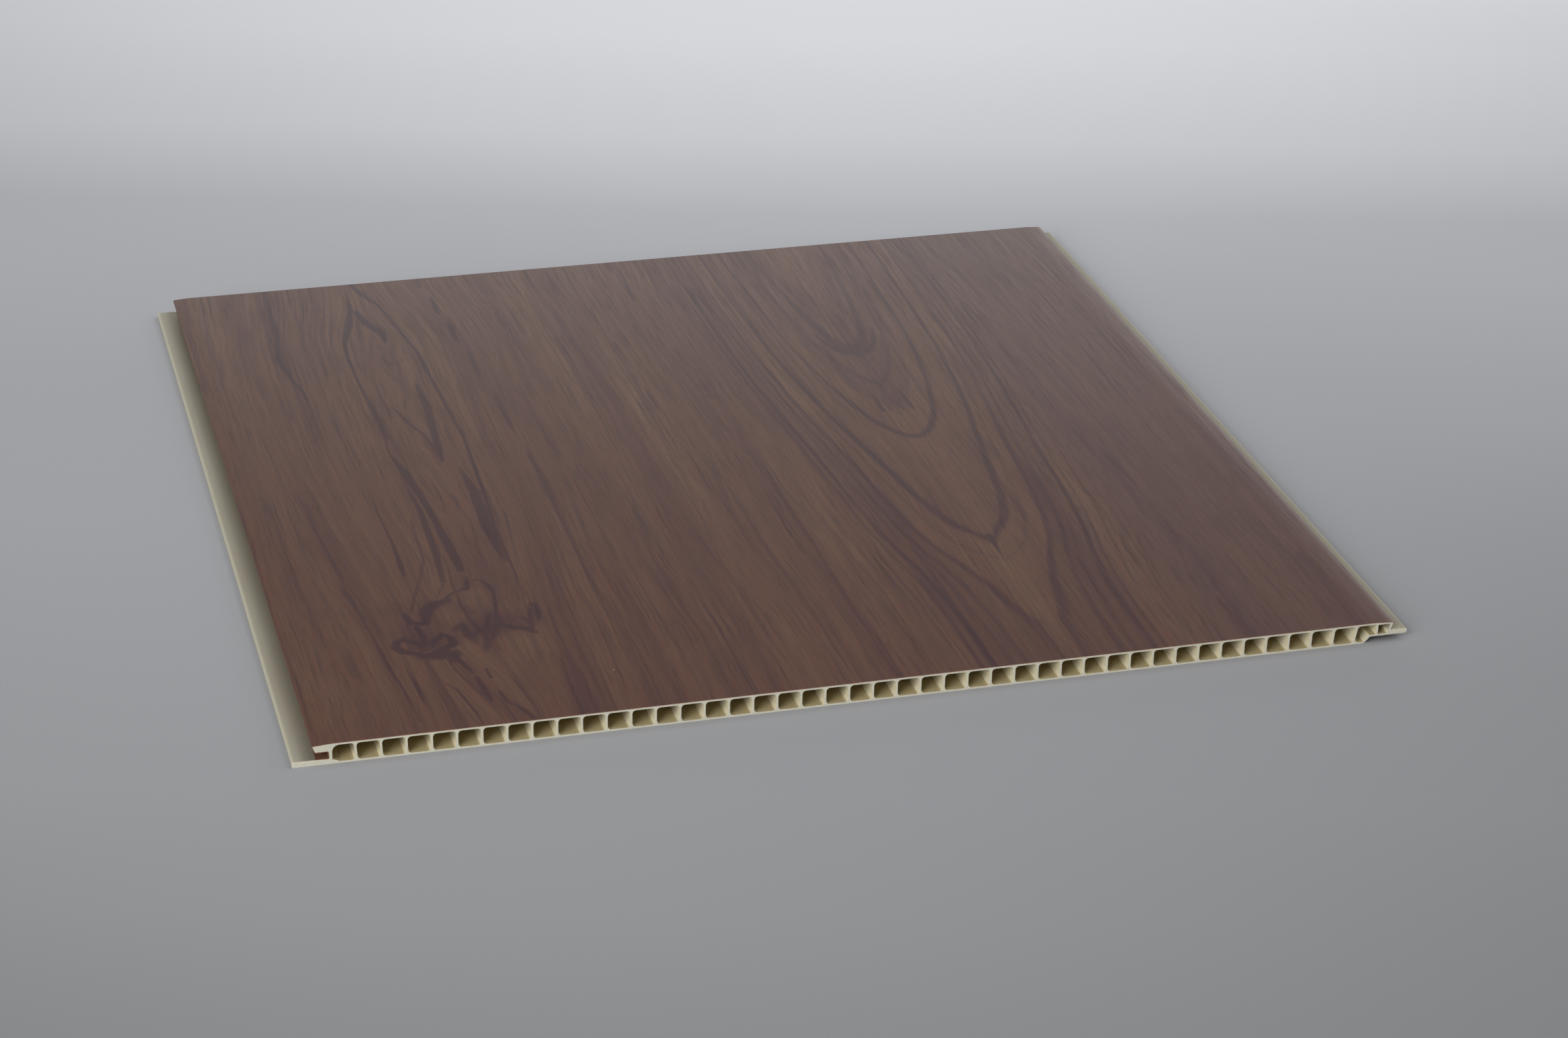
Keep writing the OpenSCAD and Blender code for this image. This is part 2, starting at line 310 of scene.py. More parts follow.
    [(49, 396, 0.6, 0.35), (49.5, 350, 0.7, 0.4), (48, 312, 0.7, 0.35)],
    [(12, 300, 0.7, 0.35), (10, 250, 0.8, 0.4), (12, 190, 0.8, 0.4), (13, 108, 0.7, 0.5),
     (14.6, 84, 0.7, 0.4), (18, 40, 0.6, 0.35), (21, 8, 0.6, 0.3)],
    [(9.6, 86, 0.5, 0.4), (10.8, 66, 0.6, 0.4), (11.5, 48, 0.6, 0.3)],
    # plain grain lines
    [(107.4, 406, 0.9, 0.6), (110.6, 366, 1.0, 0.65), (114, 322, 1.0, 0.6), (116.4, 280, 0.9, 0.6),
     (118, 240, 1.0, 0.65), (120, 195, 1.0, 0.6), (119.4, 120, 0.9, 0.5), (121, 60, 1.2, 0.6),
     (121, -2, 1.2, 0.55)],
    [(140, 406, 1.2, 0.4), (140, 370, 1.3, 0.5), (142, 330, 0.8, 0.35), (144, 280, 0.6, 0.2)],
    [(171, 406, 0.8, 0.4), (174, 360, 0.8, 0.45), (177, 310, 0.8, 0.45), (180, 250, 0.8, 0.45),
     (182, 180, 0.9, 0.4), (181, 120, 0.8, 0.25)],
    [(194, 406, 0.9, 0.55), (196, 375, 0.9, 0.6), (198, 345, 0.8, 0.45), (201, 300, 0.8, 0.45),
     (203, 268, 0.9, 0.55), (205, 235, 0.7, 0.35), (207, 180, 1.6, 0.4), (208, 120, 2.0, 0.45),
     (209, 60, 1.8, 0.45), (211, -2, 1.6, 0.4)],
    [(329, 406, 1.0, 0.5), (331, 375, 1.3, 0.55), (334, 325, 1.0, 0.45), (337, 280, 0.9, 0.5),
     (339, 220, 0.8, 0.4), (341, 160, 0.9, 0.45), (342, 100, 0.9, 0.4), (342, 40, 1.0, 0.4),
     (343, -2, 1.0, 0.35)],
    [(344, 404, 0.6, 0.25), (347, 340, 0.6, 0.3), (350, 270, 0.6, 0.25)],
    [(387, 60, 2.4, 0.35), (386, 20, 2.6, 0.45), (386, -2, 2.6, 0.45)],
    [(391, 406, 0.9, 0.4), (394, 360, 0.9, 0.45), (396, 300, 0.9, 0.4)],
    [(130, 50, 1.2, 0.2), (131, -2, 2.0, 0.35)],
    [(156, 80, 1.4, 0.3), (158, 30, 1.8, 0.4), (158, -2, 1.8, 0.4)],
]

# Broad bands as (x, y, half width, strength), purple-brown above zero and pale below.
BROAD_TINTS = [
    [(164, 406, 6, 0.3), (162, 300, 5, 0.4), (163, 150, 5, 0.45), (164, -2, 6, 0.4)],
    [(206, 250, 4, 0.3), (208, 120, 4.5, 0.6), (210, -2, 5, 0.5)],
    [(126, 120, 6, 0.2), (125, 30, 8, 0.6), (125, -2, 8, 0.7)],
    [(28, 230, 3.5, 0.2), (28, 160, 4, 0.6), (32, 95, 4.5, 0.6), (36, 50, 3, 0.5)],
    [(88, 150, 5, 0.4), (86, 118, 6, 0.55), (88, 95, 5, 0.5)],
    [(96, 44, 4, 0.5), (96, -2, 5, 0.8)],
    [(90, 76, 7, 0.7), (68, 72, 9, 0.9), (52, 72, 13, 0.9)],
    [(44, 92, 6, 0.5), (56, 92, 7, 0.6), (70, 88, 5, 0.5)],
    [(61, 46, 4, 0.6), (67, 20, 5, 0.5), (76, -2, 5, 0.5)],
    [(242, 150, 6, 0.3), (246, 60, 6, 0.35), (248, -2, 6, 0.35)],
    [(306, 150, 6, 0.3), (304, 60, 6, 0.35), (303, -2, 7, 0.35)],
    [(340, 300, 8, 0.25), (345, 100, 10, 0.35), (350, -2, 12, 0.5)],
    [(390, 100, 7, 0.3), (388, -2, 9, 0.6)],
    [(110, 330, 8, 0.35), (128, 250, 12, 0.35), (136, 160, 9, 0.3)],
    [(35, 380, 5, 0.4), (37, 330, 5, 0.5), (36, 290, 4, 0.2)],
    [(172, 320, 3, -0.35), (174, 230, 4, -0.6), (176, 160, 4, -0.7), (175, 90, 4, -0.3)],
    [(222, 260, 4, -0.2), (221, 150, 4.5, -0.6), (222, 60, 5, -0.4)],
    [(276, 400, 6, -0.5), (276, 330, 5, -0.2)],
    [(276, 215, 8, -0.3), (276, 198, 6, -0.1)],
    [(276, 180, 13, -0.3), (276, 130, 10, -0.3), (277, 80, 8, -0.45), (276, -2, 4, -0.4)],
    [(320, 300, 6, -0.3), (319, 150, 4.5, -0.4), (321, 60, 5, -0.35), (322, -2, 5, -0.3)],
    [(310, 320, 7, -0.35), (304, 230, 6, -0.4)],
    [(234, 340, 5, -0.3), (240, 230, 5, -0.4)],
    [(75, 99, 4.5, -0.9), (75, 90, 4, -0.9)],
    [(83, 58, 6, -0.9), (82, 48, 6, -0.8), (80, 38, 4, -0.4)],
    [(56, 130, 6, -0.3), (45, 170, 6, -0.4), (44, 240, 6, -0.3)],
    [(10, 60, 8, -0.4), (12, 20, 8, -0.3)],
    [(83, 180, 4.5, -0.5), (83, 150, 5, -0.5), (76, 300, 7, -0.3)],
]

# Where the grain is pushed to the right: (mm, y where it starts, y where it is full, x, width).
GRAIN_PUSHES = [(13.0, 240.0, 5.0, 34.0, 17.0), (13.0, 64.0, -6.0, 67.0, 17.0),
                (11.0, 404.0, 154.0, 340.0, 24.0)]
EYE_X, EYE_EDGE, EYE_PUSH, EYE_WIDTH = 80.0, 15.0, 12.0, 46.0  # the long eye over the knot
LEAF_X, LEAF_PUSH, LEAF_WIDTH = 64.0, 6.0, 11.0  # the leaf just over the knot, pushed left
LOOP_X, LOOP_Y, LOOP_R, LOOP_ROUND = 82.5, 316.0, 3.4, 1.15  # the small loop inside the eye
KNOT_X, KNOT_Y, KNOT_RX, KNOT_RY = 66.0, 74.0, 28.0, 22.0  # the knot's middle and radii
TIP_SHARPNESS, TIP_WIDTH = 10.0, 7.0  # how pointed the nearer arches are
DROP_Y, DROP_LENGTH, DROP_DEPTH, DROP_HALF = 97.0, 22.0, 98.0, 5.0  # drop under the lowest arch
ARCH_EDGE, ARCH_END = 46.0, 72.0  # right of the heart, the rings fade into plain grain here
LEAST_STEEP = 0.07  # limit of the ring slope, which widens the lines that cross the fibres
STRAIGHTENING = 1600.0  # how soon the plain grain beside the arches runs straight, in mm2
APEX_WIDTH = 15.0  # the arches' tips, which are more ragged
SLOPE_STEP = 3.0  # half the length over which the arches' slope is taken


def film_fields(x, y):
    """Fields of the printed figure at points of the face, in mm."""
    side = x - HEART_X
    eye = ease(y, 404.0, 334.0) * ease(y, 60.0, 190.0)
    shift = EYE_PUSH * eye * np.tanh((x - EYE_X) / EYE_EDGE) * bell(x, EYE_X, EYE_WIDTH)
    for push, start, full, at, width in GRAIN_PUSHES:
        shift += push * ease(y, start, full) * bell(x, at, width)
    shift -= LEAF_PUSH * ease(y, 140.0, 85.0) * ease(y, 30.0, 80.0) * bell(x, LEAF_X, LEAF_WIDTH)
    # slow waves all over, under a millimetre to each side
    w = x - shift + 0.8 * np.sin(y / 41.0 + x / 37.0) - HEART_X
    opened = np.interp(y, HEART_Y, HEART_K)
    point = TIP_SHARPNESS * ease(y, 190.0, 140.0) * np.abs(side) * bell(x, HEART_X, TIP_WIDTH)
    point -= DROP_DEPTH * np.exp(-np.abs(side) / DROP_HALF) * bell(y, DROP_Y, DROP_LENGTH)
    ring = np.sqrt(np.maximum(side ** 2 + point + opened, 0.0))
    # how fast the ring distance changes here, which keeps the drawn lines at their width
    ahead = np.interp(y + SLOPE_STEP, HEART_Y, HEART_K)
    behind = np.interp(y - SLOPE_STEP, HEART_Y, HEART_K)
    fall = (ahead - behind) / (4.0 * SLOPE_STEP)
    steep = np.clip(np.hypot(side, fall) / np.maximum(ring, 1.0), LEAST_STEEP, 1.0)
    steep *= 3.2 - 2.2 * steep  # lines across the fibres are drawn up to three times wider
    arched = 1.0 - ease(w, ARCH_EDGE, ARCH_END)
    flow = HEART_X + w * np.sqrt(1.0 + opened * arched / (w * w + STRAIGHTENING))
    dark = np.zeros_like(x)
    for points in DARK_STREAKS:
        dark = np.maximum(dark, stroke(x, y, points))
    loop = np.abs(np.hypot((x - LOOP_X) / LOOP_ROUND, y - LOOP_Y) - LOOP_R)
    dark = np.maximum(dark, 0.5 * bell(loop, 0.0, 0.8))
    tint = np.zeros_like(x)
    for points in BROAD_TINTS:
        sign = 1.0 if points[0][3] > 0 else -1.0
        tint += sign * stroke(x, y, [(a, b, c, abs(d)) for a, b, c, d in points])
    from_knot = ((x - KNOT_X) / KNOT_RX) ** 2 + ((y - KNOT_Y) / KNOT_RY) ** 2
    return {"flow": flow, "ring": ring, "steep": steep, "apex": bell(x, HEART_X, APEX_WIDTH),
            "dark": dark, "tint": tint, "knotty": np.exp(-from_knot ** 1.5)}


# Tone of the arched figure from its heart outwards, as (ring distance in mm, darkness).
RING_SPAN = 72.0
RING_BANDS = [
    (0.0, 0.06), (11.2, 0.04), (12.6, 0.28), (15.2, 0.3), (16.3, 0.2), (16.8, 0.95), (18.0, 0.9),
    (18.7, 0.34), (25.4, 0.38), (26.4, 0.04), (33.0, 0.04), (37.4, 0.2), (39.0, 0.3), (39.3, 0.85),
    (39.8, 0.8), (40.1, 0.05), (45.6, 0.06), (47.0, 0.34), (55.0, 0.36), (57.6, 0.3),
    (58.6, 0.12), (72.0, 0.1),
]
# Its thin dark lines, as (ring distance, half width in mm, darkness).
RING_LINES = [
    (12.6, 0.4, 0.35), (14.6, 0.45, 0.6), (17.4, 0.8, 0.9), (19.6, 0.35, 0.35), (22.6, 0.5, 0.75),
    (26.0, 0.35, 0.45), (30.7, 0.6, 1.0), (34.0, 0.3, 0.25), (39.5, 0.75, 1.0), (42.5, 0.4, 0.4),
    (46.5, 0.65, 0.9), (49.6, 0.55, 0.8), (51.8, 0.4, 0.65), (55.2, 0.75, 1.0), (57.8, 0.5, 0.75),
    (61.8, 0.4, 0.45), (65.5, 0.35, 0.4), (69.2, 0.4, 0.35),
]

# Grain layers: cycles per mm across the fibres and along them, slice, detail, roughness, twist.
WAVE = (0.07, 0.035, 8.0, 2.0, 0.6, 0.0)
GRAIN = {
    "fine": (1.1, 0.024, 3.0, 3.0, 0.65, 0.0),
    "medium": (0.4, 0.008, 7.0, 3.0, 0.6, 0.0),
    "broad": (0.085, 0.0028, 1.0, 2.0, 0.5, 0.0),
    "pores": (1.0, 0.03, 9.0, 3.0, 0.7, 0.0),
    "veins": (0.6, 0.011, 6.0, 3.0, 0.6, 0.0),
    "mottle": (0.16, 0.03, 4.0, 3.0, 0.6, 0.0),
    "swirl": (0.28, 0.16, 5.0, 4.0, 0.6, 1.4),
    "lines": (0.42, 0.0035, 2.0, 3.0, 0.7, 0.0),
}

# Printed colours. The body's go from its palest to its most purple.
BODY_TONES = [
    (0.0, srgb(113, 84, 64)), (0.25, srgb(106, 75, 59)), (0.5, srgb(101, 69, 55)),
    (0.75, srgb(93, 62, 53)), (1.0, srgb(83, 53, 49)),
]
GREYER_SIDE = srgb(93, 69, 64)
VEIN = srgb(74, 50, 48)
FINE_LINE = srgb(66, 46, 42)
PORE = srgb(54, 38, 38)
FIGURE = srgb(62, 38, 43)
PALE_FIBRE = srgb(124, 97, 76)
# painted light in the groove, over the film's orange-brown base colour
FILM_BASE_PAINTED_LIGHT = srgb(122, 86, 70)
FILM_CUT = srgb(156, 112, 80)
DUST = srgb(205, 200, 196)


def fibres(g, flow, y, layer):
    """Noise drawn out along the fibres."""
    across, lengthwise, slice_at, detail, rough, twist = layer
    return g.noise(g.xyz(flow * across, y * lengthwise, slice_at), detail=detail, rough=rough,
                   distort=twist)


def figure_depth(g, y, grain):
    """How much the arches, streaks and knot darken the print."""
    ring, knotty = g.attr("ring"), g.attr("knotty")
    ragged = grain["fine"] - 0.5
    # arched rings, made ragged along the fibres
    jitter = ragged * 0.8 + (grain["veins"] - 0.5) * 0.8
    arch = g.ramp((ring + jitter * (g.attr("apex") * 0.6 + 1.2)) / RING_SPAN,
                  [(place / RING_SPAN, tone) for place, tone in RING_BANDS])
    near, steep = ring + jitter, g.attr("steep")
    for place, half, darkness in RING_LINES:
        off = g.math("ABSOLUTE", near - place) / steep
        arch = g.math("MAXIMUM", arch, g.step(off, 1.6 * half, 0.4 * half, 0.0, darkness))
    arch = arch * g.step(grain["medium"], 0.2, 0.6, 0.75, 1.05)
    # weaker lines away from the arches
    lines = g.step(grain["lines"], 0.54, 0.64) * 0.6 * g.step(ring, 50.0, 70.0)
    # streaks with ragged edges, darker far away and around the knot
    dark = g.attr("dark")
    streak = g.step(dark + ragged * 0.5 * g.step(dark, 0.05, 0.3), 0.1, 0.62)
    streak = streak * (g.step(y, 60.0, 150.0, 1.0, 1.2) + knotty * 0.2)
    knots = g.step(grain["swirl"], 0.5, 0.64) * knotty * 0.5
    return g.math("MAXIMUM", g.math("MAXIMUM", arch, lines), g.math("MAXIMUM", streak, knots))


def body_colour(g, along, y, grain):
    """The wood between the figure's dark lines."""
    # the near left corner is plainer
    calm = 1.0 - g.step(along, 125.0, 85.0) * g.step(y, 20.0, -90.0) * 0.4
    hue = (g.attr("tint") * 0.42 + (grain["broad"] - 0.5) + (grain["medium"] - 0.5) * 1.05 * calm
           + (grain["mottle"] - 0.5) * 0.35 + 0.45)
    body = g.ramp(g.math("ADD", hue, 0.0, clamp=True), BODY_TONES)
    body = g.mix(g.step(along, 316.0, 342.0) * 0.5, body, GREYER_SIDE)
    body = g.mix(g.step(grain["veins"], 0.53, 0.67) * 0.6 * calm, body, VEIN)
    body = g.mix(g.step(grain["fine"], 0.45, 0.68) * 0.46, body, FINE_LINE)
    return g.mix(g.step(grain["pores"], 0.52, 0.66) * 0.42, body, PORE)


def dust_specks(g, pos):
    """A small speck in about one cell of ten."""
    distance = g.node("ShaderNodeTexVoronoi", out="Distance", Vector=pos, Scale=70.0)
    cell_colour = Val(g, distance.socket.node.outputs["Color"])
    rare = g.node("ShaderNodeSeparateColor", i0=cell_colour)
    return g.step(distance, 0.024, 0.016) * g.step(rare, 0.9, 0.91)


def wood_film():
    g = Graph(bpy.data.materials.new("woodgrain_print"))
    pos = g.coords("Object")
    x, y, up = (v * 1000.0 for v in g.parts(pos))
    along = x + X_SHIFT  # the figure's x
    flow = g.attr("flow")
    flow = flow + (fibres(g, flow, y, WAVE) - 0.5) * 2.2  # small waves that the grain shares
    grain = {name: fibres(g, flow, y, layer) for name, layer in GRAIN.items()}
    colour = g.mix(figure_depth(g, y, grain) * 0.78, body_colour(g, along, y, grain), FIGURE)
    colour = g.mix(g.step(grain["fine"], 0.42, 0.24) * 0.1, colour, PALE_FIBRE)
    # the groove's film is painted a lighter orange-brown: the film's bare base, lifted by painted
    # light against the groove's shade
    groove = g.step(up, 5.9, 5.6) * g.step(along, 8.0, 7.0)
    colour = g.mix(groove * 0.8, colour, FILM_BASE_PAINTED_LIGHT)
    colour = g.mix(dust_specks(g, pos) * 0.8, colour, DUST)
    # the film's own thickness shows orange-brown where it was sawn
    cut = g.step(g.math("ABSOLUTE", g.parts(g.coords("Normal"))[1]), 0.7, 0.9)
    colour = g.mix(cut, colour, FILM_CUT)
    relief = grain["fine"] * 0.6 + grain["pores"] * 0.5 + grain["medium"] * 0.3
    rough = g.step(grain["fine"], 0.3, 0.7, 0.26, 0.36)
    return g.surface(Base_Color=colour, Roughness=rough, Specular_IOR_Level=0.28,
                     Normal=g.bump(relief, 0.06 * MM, 0.55))


# Cream profile

# Places on the section in mm, x from the lip's edge and z from the floor. Each pair is the start
# and the end of a soft edge.
CELLS_LEFT, CELLS_RIGHT = (6.2, 6.4), (397.9, 397.7)
CELLS_LOW, CELLS_HIGH = (0.25, 0.35), (7.4, 7.3)
BACK_STEP_X, BACK_STEP_RISE = (390.8, 394.0), 2.6
FLANGE_SHADE, FLANGE_SHADE_END, FLANGE_RIM_HIGHLIGHT = (-5.4, -0.6), (3.0, 1.0), (-5.4, -6.6)
TONGUE_X, TONGUE_TOP = (400.0, 400.5), (4.0, 4.3)

SKIN_DARK, SKIN_PALE = srgb(167, 160, 140), srgb(176, 170, 152)
DIE_LINE = srgb(157, 147, 122)
# painted shade on the flange near the lip, and a painted highlight on its outer rim
SHADED_FLANGE, RIM_PAINTED_HIGHLIGHT = srgb(134, 127, 111), srgb(196, 191, 170)
# painted shade on the tongue's top
TONGUE_PAINTED_SHADE = srgb(146, 139, 118)
# painted light and shade inside the cells: pale walls, darker floors, right walls by the way they
# face
CELL_WALL_PAINTED_LIGHT, CELL_FLOOR_PAINTED_SHADE, CELL_RIGHT_WALL_PAINTED_LIGHT = srgb(236, 225, 194), srgb(184, 171, 134), srgb(228, 219, 190)
SAWN_PALE, SAWN_DARK = srgb(230, 226, 208), srgb(214, 207, 182)
SPECK = srgb(160, 146, 118)


def cream_pvc():
    g = Graph(bpy.data.materials.new("cream_pvc"))
    x, y, z = (v * 1000.0 for v in g.parts(g.coords("Object")))
    facing_x, facing_y, facing_z = g.parts(g.coords("Normal"))
    cut = g.step(g.math("ABSOLUTE", facing_y), 0.6, 0.9)

    # inside of the cells, where light and shade are painted: paler than the outer skin, with darker
    # floors and slightly darker right walls, by the way each surface faces
    px = x + X_SHIFT
    back = g.step(px, *BACK_STEP_X, 0.0, BACK_STEP_RISE)
    inside = (g.step(px, *CELLS_LEFT) * g.step(px, *CELLS_RIGHT) * g.step(z - back, *CELLS_LOW)
              * g.step(z, *CELLS_HIGH))

    cloud = g.noise(g.xyz(x * 0.03, y * 0.012, z * 0.03), detail=3.0)
    die = g.noise(g.xyz(x * 2.6, y * 0.01, z * 2.6), detail=2.0, rough=0.6)
    saw = g.noise(g.xyz(x * 0.9 + z * 0.5, y * 0.4, z * 5.5), detail=3.0, rough=0.7)
    grit = g.noise(g.xyz(x * 6.0, y * 6.0, z * 6.0), detail=2.0)
    wall = g.mix(g.step(cloud, 0.3, 0.7), SKIN_DARK, SKIN_PALE)
    wall = g.mix(g.step(die, 0.52, 0.75) * 0.3, wall, DIE_LINE)
    shade = g.step(px, *FLANGE_SHADE, 0.1, 0.8) * g.step(px, *FLANGE_SHADE_END)
    wall = g.mix(shade, wall, SHADED_FLANGE)
    # painted highlight along the flange's rounded outer rim
    wall = g.mix(g.step(px, *FLANGE_RIM_HIGHLIGHT) * 0.75, wall, RIM_PAINTED_HIGHLIGHT)
    # painted shade on the tongue's top, beside the panel's edge
    wall = g.mix(g.step(px, *TONGUE_X) * g.step(z, *TONGUE_TOP) * 0.5, wall, TONGUE_PAINTED_SHADE)
    # painted light and shade of the cells, chosen by the way each surface faces
    cell = g.mix(g.step(facing_z, 0.3, 0.9), CELL_WALL_PAINTED_LIGHT, CELL_FLOOR_PAINTED_SHADE)
    cell = g.mix(g.step(facing_x, -0.3, -0.9), cell, CELL_RIGHT_WALL_PAINTED_LIGHT)
    wall = g.mix(inside, wall, cell)
    sawn = g.mix(g.step(saw, 0.4, 0.7), SAWN_PALE, SAWN_DARK)
    colour = g.mix(cut, wall, sawn)
    colour = g.mix(g.step(grit, 0.7, 0.78) * 0.35, colour, SPECK)
    relief = g.bump(die * (1.0 - cut) * 0.5 + saw * cut + grit * 0.25, 0.08 * MM, 0.6)
    return g.surface(Base_Color=colour, Roughness=g.step(cut, 0.0, 1.0, 0.42, 0.72), Normal=relief,
                     Specular_IOR_Level=0.4, Subsurface_Weight=0.25, Subsurface_Scale=1.0,
                     Subsurface_Radius=(2.2 * MM, 1.8 * MM, 0.9 * MM))


# Meshes

SAME_PLACE = 1e-6


def new_object(name, verts, faces, material):
    mesh = bpy.data.meshes.new(name)
    mesh.from_pydata([tuple(v) for v in verts], [], [tuple(f) for f in faces])
    mesh.validate()
    obj = bpy.data.objects.new(name, mesh)
    bpy.context.scene.collection.objects.link(obj)
    mesh.materials.append(material)
    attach(obj, "root")
    return obj


def section_loop(obj):
    """The outline of an extruded node's near end, as ordered (x, z) points."""
    bm = bmesh.new()
    bm.from_mesh(obj.data)
    bmesh.ops.remove_doubles(bm, verts=bm.verts, dist=SAME_PLACE)
    y0 = min(v.co.y for v in bm.verts)
    near = {}
    for e in bm.edges:
        on_end = all(abs(v.co.y - y0) < SAME_PLACE for v in e.verts)
        if on_end and sum(abs(f.normal.y) > 0.9 for f in e.link_faces) == 1:
            a, b = e.verts
            near.setdefault(a, []).append(b)
            near.setdefault(b, []).append(a)
    start = max(near, key=lambda v: (round(v.co.x, 6), v.co.z))
    loop, prev, cur = [start], None, start
    while True:
        nxt = [v for v in near[cur] if v is not prev and (v is not start or len(loop) > 2)][0]
        if nxt is start:
            break
        loop.append(nxt)
        prev, cur = cur, nxt
    points = [(v.co.x, v.co.z) for v in loop]
    bm.free()
    area = sum(a[0] * b[1] - b[0] * a[1] for a, b in zip(points, points[1:] + points[:1]))
    return points if area > 0 else points[::-1]


# Steps of the film's mesh in mm, as (from, to, step). They are finer where the figure is.
COLUMN_STEPS = ((8.0, 34.0, 1.4), (34.0, 102.0, 0.62), (228.0, 326.0, 0.9))
COLUMN_STEP = 2.4
ROW_STEPS = ((0.0, 116.0, 1.15), (116.0, LENGTH, 2.4))
LEAST_SPLIT = 3.0  # shorter sides of the section stay whole
EASED_EDGE = 0.4  # the face's eased edges lie up to this far below its top
SHARP_ANGLE = 28


def film_outline():
    """The film's section as (x, z) points in metres, with its upper sides cut into columns."""
    loop = section_loop(frame["nodes"]["woodgrain_film"])
    dense = []
    for (xa, za), (xb, zb) in zip(loop, loop[1:] + loop[:1]):
        dense.append((xa, za))
        length = math.hypot(xb - xa, zb - za) / MM
        on_top = xb < xa and (za + zb) / 2 > TOP - (0.5 * FILM_T + EASED_EDGE) * MM
        outer = max(za, zb) > TOP - 0.7 * FILM_T * MM
        if length < LEAST_SPLIT or not (on_top and outer):
            continue
        at = xa
        while True:
            here = (at - X0) / MM
            step = next((c for a, b, c in COLUMN_STEPS if a < here < b), COLUMN_STEP)
            at -= step * MM
            if at - xb < 0.4 * step * MM:
                break
            dense.append((at, za + (zb - za) * (at - xa) / (xb - xa)))
    return np.array(dense)


def figure_x(outline):
    """Distance along the film's surface, which equals the figure's x on the face itself."""
    sides = np.hypot(*(np.roll(outline, -1, 0) - outline).T) / MM
    arc = np.concatenate([[0.0], np.cumsum(sides)[:-1]])
    off_top = outline[:, 1] < TOP - 1e-5
    middle = int(np.argmin(np.abs(outline[:, 0] - (X0 + 0.2)) + 10.0 * off_top))
    return (outline[middle, 0] - X0) / MM - (arc - arc[middle])


def film_mesh(material):
    """The film as a finer mesh of the same section, which carries the figure's fields."""
    outline = film_outline()
    n = len(outline)
    ys = [np.linspace(a, b, int(round((b - a) / c)), endpoint=False) for a, b, c in ROW_STEPS]
    ys = np.concatenate(ys + [[LENGTH]])
    rows = len(ys)
    verts = np.zeros((rows, n, 3))
    verts[:, :, 0] = outline[None, :, 0]
    verts[:, :, 1] = Y0 + ys[:, None] * MM
    verts[:, :, 2] = outline[None, :, 1]
    faces = []
    for r in range(rows - 1):
        a, b = r * n, (r + 1) * n
        faces += [(a + i, a + (i + 1) % n, b + (i + 1) % n, b + i) for i in range(n)]
    faces.append(tuple(range(n - 1, -1, -1)))
    faces.append(tuple((rows - 1) * n + i for i in range(n)))
    obj = new_object("woodgrain_film_skin", verts.reshape(-1, 3), faces, material)
    bm = bmesh.new()
    bm.from_mesh(obj.data)
    bmesh.ops.recalc_face_normals(bm, faces=bm.faces)
    bmesh.ops.triangulate(bm, faces=[f for f in bm.faces if len(f.verts) > 4])
    bm.to_mesh(obj.data)
    bm.free()
    fields = film_fields(np.tile(figure_x(outline), rows), np.repeat(ys, n))
    for name, values in fields.items():
        a = obj.data.attributes.new(name, "FLOAT", "POINT")
        a.data.foreach_set("value", values.astype(np.float32))
    obj.data.shade_smooth()
    obj.data.set_sharp_from_angle(angle=math.radians(SHARP_ANGLE))
    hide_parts("woodgrain_film")
    return obj


# The burr in mm: its start and end before the tongue's tip, its stations, how deep it bites into
# the profile, its front and back behind the cut, its least hang and the ragged rest.
BURR_START, BURR_END, BURR_STEP = 13.2, 1.1, 0.21
BURR_BITE, BURR_FRONT, BURR_BACK = 0.06, 0.02, 0.3
BURR_HANG, BURR_RAG = 0.03, 0.15
BURR_TAPER = 4.0  # stations over which it thins out at its ends


def saw_burr(material, outline):
    """The ragged burr that the saw left hanging along the lower front edge of the tongue's side."""
    rng = np.random.default_rng(7)
    sides = list(zip(outline, outline[1:] + outline[:1]))
    verts, faces = [], []
    xs = np.arange(core_hi.x / MM - BURR_START, core_hi.x / MM - BURR_END, BURR_STEP)
    for i, at in enumerate(xs * MM):
        under = min(za + (zb - za) * (at - xa) / (xb - xa)
                    for (xa, za), (xb, zb) in sides if min(xa, xb) <= at < max(xa, xb))
        ends = min(1.0, i / BURR_TAPER, (len(xs) - 1 - i) / BURR_TAPER)
        hang = (BURR_HANG + BURR_RAG * rng.random() ** 1.5) * ends * MM
        verts += [(at, Y0 + BURR_FRONT * MM, under + BURR_BITE * MM),
                  (at, Y0 + BURR_BACK * MM, under + BURR_BITE * MM),
                  (at, Y0 + (0.05 + 0.1 * rng.random()) * MM, under - hang)]
        if i:
            a, b = 3 * i - 3, 3 * i
            faces += [(a + k, b + k, b + (k + 1) % 3, a + (k + 1) % 3) for k in range(3)]
    faces += [(0, 1, 2), (len(verts) - 1, len(verts) - 2, len(verts) - 3)]
    return new_object("saw_burr", verts, faces, material)


# The object

film_mesh(wood_film())
core = frame["nodes"]["extruded_profile"]
core.data.materials.clear()
core.data.materials.append(cream_pvc())
saw_burr(core.data.materials[0], section_loop(core))


# Camera, floor and light

PHOTO_W = 2368.0
FOCAL_PX = 5500.38  # focal length in pixels of the photo
SENSOR_MM = 36.0
CAMERA_PLACE = (-0.33758, -1.28531, 0.62736)
YAW, PITCH, ROLL = (math.radians(a) for a in (15.6938, 26.1165, 1.1365))


